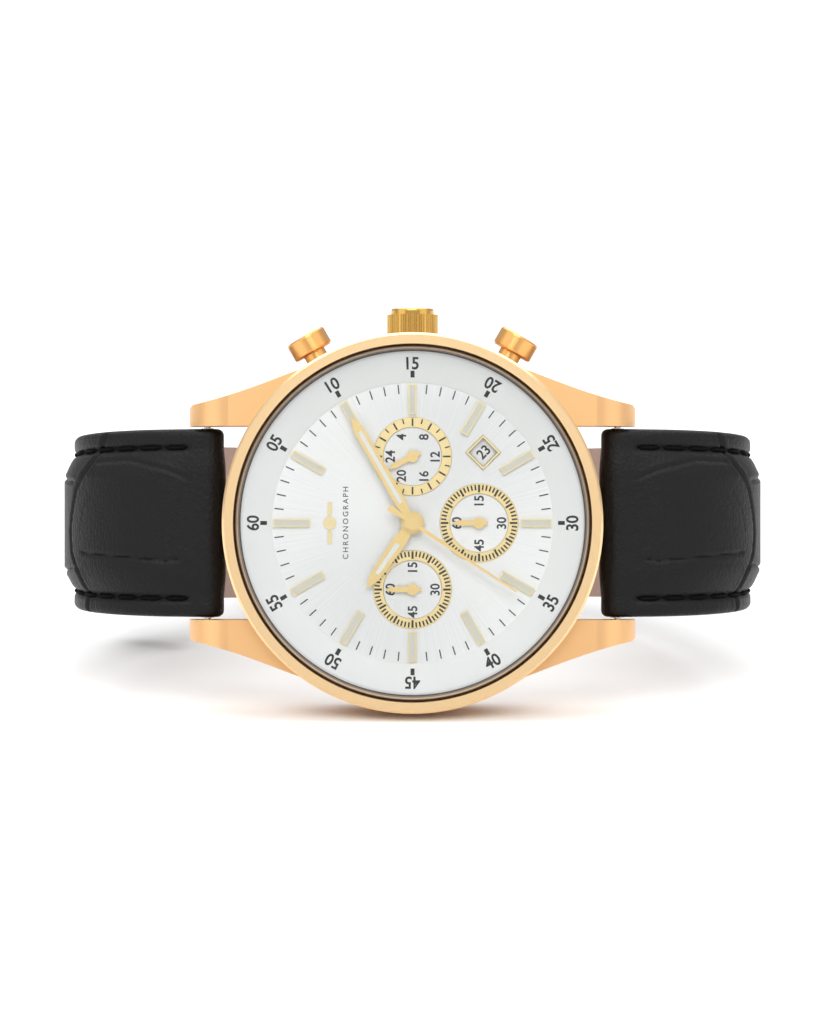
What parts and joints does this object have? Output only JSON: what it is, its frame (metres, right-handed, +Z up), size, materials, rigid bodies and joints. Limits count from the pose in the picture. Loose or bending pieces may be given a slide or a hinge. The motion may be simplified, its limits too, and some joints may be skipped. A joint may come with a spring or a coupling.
{
  "type": "chronograph wristwatch",
  "caption": "Round chronograph wristwatch with pushers, sub-dials and a padded leather strap, unbuckled and standing on its side.",
  "frame": {"origin": "middle of the watch's box on the surface it stands on", "axes": "+Z up towards the crown, +X towards the 6 o'clock strap, -Y out of the dial, which leans back"},
  "size_m": [0.0814, 0.0786, 0.0453],
  "materials": {
    "case_gold": "satin brushed gold ion plating",
    "bezel_gold": "polished gold ion plating",
    "crystal_glass": "clear mineral glass",
    "black_rubber": "matt black",
    "back_steel": "brushed",
    "dial_white": "silver-white sunray",
    "ring_white": "matt silver-white",
    "marker_gold": "polished gold plating",
    "subdial_gold": "circular brushed gold",
    "hand_gold": "satin gold plating",
    "date_white": "white print ground",
    "holder_plastic": "moulded",
    "plate_brass": "nickel-free brass",
    "board_green": "solder mask",
    "screw_steel": "polished",
    "coil_copper": "enamelled copper wire",
    "cell_steel": "polished",
    "wheel_brass": "cut brass",
    "stem_steel": "polished",
    "crown_gold": "polished gold ion plating",
    "pusher_gold": "polished gold ion plating",
    "black_leather": "embossed scales, semi-gloss",
    "lining_leather": "matt mauve-taupe lining",
    "buckle_gold": "satin gold plating"
  },
  "bodies": {
    "case": {"case_middle": "case_gold", "bezel": "bezel_gold", "crystal": "crystal_glass", "crystal_gasket": "black_rubber", "case_back": "back_steel", "case_back_gasket": "black_rubber", "dial": "dial_white", "chapter_ring": "ring_white", "hour_markers": "marker_gold", "ring_24h": "subdial_gold", "ring_seconds": "subdial_gold", "ring_minutes": "subdial_gold", "date_frame": "marker_gold", "emblem": "marker_gold", "movement_ring": "holder_plastic", "main_plate": "plate_brass", "circuit_board": "board_green", "train_bridge": "plate_brass", "movement_screws": "screw_steel", "coil_block": "coil_copper", "battery_cell": "cell_steel", "battery_clamp": "screw_steel", "crown_tube": "stem_steel", "start_pusher_tube": "stem_steel", "start_pusher_spring": "stem_steel", "reset_pusher_tube": "stem_steel", "reset_pusher_spring": "stem_steel", "spring_bar_12": "stem_steel", "spring_bar_6": "stem_steel"},
    "crown_seal": {"crown_gasket": "black_rubber"},
    "crown_and_stem": {"crown": "crown_gold", "winding_stem": "stem_steel"},
    "start_button": {"start_pusher": "pusher_gold", "start_pusher_clip": "screw_steel"},
    "reset_button": {"reset_pusher": "pusher_gold", "reset_pusher_clip": "screw_steel"},
    "minute_hand_group": {"minute_hand": "hand_gold", "cannon_pinion": "wheel_brass"},
    "hour_hand_group": {"hour_hand": "hand_gold", "hour_wheel": "wheel_brass"},
    "seconds_hand_group": {"seconds_hand": "hand_gold", "seconds_arbor": "stem_steel"},
    "setting_wheel": {"minute_wheel": "wheel_brass"},
    "hand_24h_group": {"hand_24h": "hand_gold"},
    "chrono_seconds_group": {"chrono_seconds_hand": "hand_gold"},
    "chrono_minutes_group": {"chrono_minutes_hand": "hand_gold"},
    "date_ring": {"date_disc": "date_white"},
    "strap_12": {"strap_12_top": "black_leather", "strap_12_lining": "lining_leather", "buckle_bar": "stem_steel", "keeper_fixed": "black_leather"},
    "strap_6": {"strap_6_top": "black_leather", "strap_6_lining": "lining_leather"},
    "buckle": {"buckle_frame": "buckle_gold"},
    "tongue": {"buckle_tongue": "buckle_gold"},
    "sliding_keeper": {"keeper_free": "black_leather"}
  },
  "joints": [
    {"name": "crown_pull", "type": "slide", "parent": "case", "child": "crown_seal", "axis": [0, 0.1718, 0.9851], "range_m": [0, 0.0012]},
    {"name": "crown_turn", "type": "hinge", "parent": "crown_seal", "child": "crown_and_stem", "pos_m": [0, -0.02603, 0.0426], "axis": [0, 0.1718, 0.9851], "continuous": true},
    {"name": "start_press", "type": "slide", "parent": "case", "child": "start_button", "axis": [0.5, -0.1488, -0.8531], "range_m": [0, 0.001], "stiffness_N_per_m": 1500, "springref_m": -0.001, "deforming": ["start_pusher_spring"]},
    {"name": "reset_press", "type": "slide", "parent": "case", "child": "reset_button", "axis": [-0.5, -0.1488, -0.8531], "range_m": [0, 0.001], "stiffness_N_per_m": 1500, "springref_m": -0.001, "deforming": ["reset_pusher_spring"]},
    {"name": "minute_turn", "type": "hinge", "parent": "case", "child": "minute_hand_group", "pos_m": [0, -0.03178, 0.02127], "axis": [0, 0.9851, -0.1718], "continuous": true},
    {"name": "hour_turn", "type": "hinge", "parent": "case", "child": "hour_hand_group", "pos_m": [0, -0.03178, 0.02127], "axis": [0, 0.9851, -0.1718], "continuous": true},
    {"name": "seconds_turn", "type": "hinge", "parent": "case", "child": "seconds_hand_group", "pos_m": [0, -0.03178, 0.02127], "axis": [0, 0.9851, -0.1718], "continuous": true},
    {"name": "setting_wheel_turn", "type": "hinge", "parent": "case", "child": "setting_wheel", "pos_m": [-0.0048, -0.03178, 0.02127], "axis": [0, 0.9851, -0.1718], "continuous": true},
    {"name": "day_hand_turn", "type": "hinge", "parent": "case", "child": "hand_24h_group", "pos_m": [0, -0.03049, 0.02871], "axis": [0, 0.9851, -0.1718], "continuous": true},
    {"name": "date_turn", "type": "hinge", "parent": "case", "child": "date_ring", "pos_m": [0, -0.03178, 0.02127], "axis": [0, 0.9851, -0.1718], "continuous": true},
    {"name": "chrono_seconds_turn", "type": "hinge", "parent": "case", "child": "chrono_seconds_group", "pos_m": [0.00755, -0.03178, 0.02127], "axis": [0, 0.9851, -0.1718], "continuous": true},
    {"name": "chrono_minutes_turn", "type": "hinge", "parent": "case", "child": "chrono_minutes_group", "pos_m": [0, -0.03308, 0.01384], "axis": [0, 0.9851, -0.1718], "continuous": true},
    {"name": "strap_12_swing", "type": "hinge", "parent": "case", "child": "strap_12", "pos_m": [-0.0234, -0.02883, 0.02076], "axis": [0, 0.1718, 0.9851], "range_deg": [0, 70]},
    {"name": "strap_6_swing", "type": "hinge", "parent": "case", "child": "strap_6", "pos_m": [0.0234, -0.02883, 0.02076], "axis": [0, -0.1718, -0.9851], "range_deg": [0, 70]},
    {"name": "buckle_swing", "type": "hinge", "parent": "strap_12", "child": "buckle", "pos_m": [-0.00724, 0.02129, 0.01202], "axis": [0, 0.1718, 0.9851], "range_deg": [-60, 60]},
    {"name": "tongue_lift", "type": "hinge", "parent": "buckle", "child": "tongue", "pos_m": [-0.00724, 0.02129, 0.01202], "axis": [0, 0.1718, 0.9851], "range_deg": [0, 50]},
    {"name": "keeper_slide", "type": "slide", "parent": "strap_12", "child": "sliding_keeper", "axis": [0.5699, 0.8095, -0.1412], "range_m": [-0.003, 0.003]}
  ],
  "couplings": [
    {"joint": "hour_turn", "follows": "minute_turn", "ratio": 0.083333},
    {"joint": "setting_wheel_turn", "follows": "minute_turn", "ratio": -0.33333},
    {"joint": "seconds_turn", "follows": "minute_turn", "ratio": 60},
    {"joint": "day_hand_turn", "follows": "minute_turn", "ratio": 0.041667},
    {"joint": "date_turn", "follows": "minute_turn", "ratio": 0.0013441},
    {"joint": "chrono_minutes_turn", "follows": "chrono_seconds_turn", "ratio": 0.016667}
  ]
}
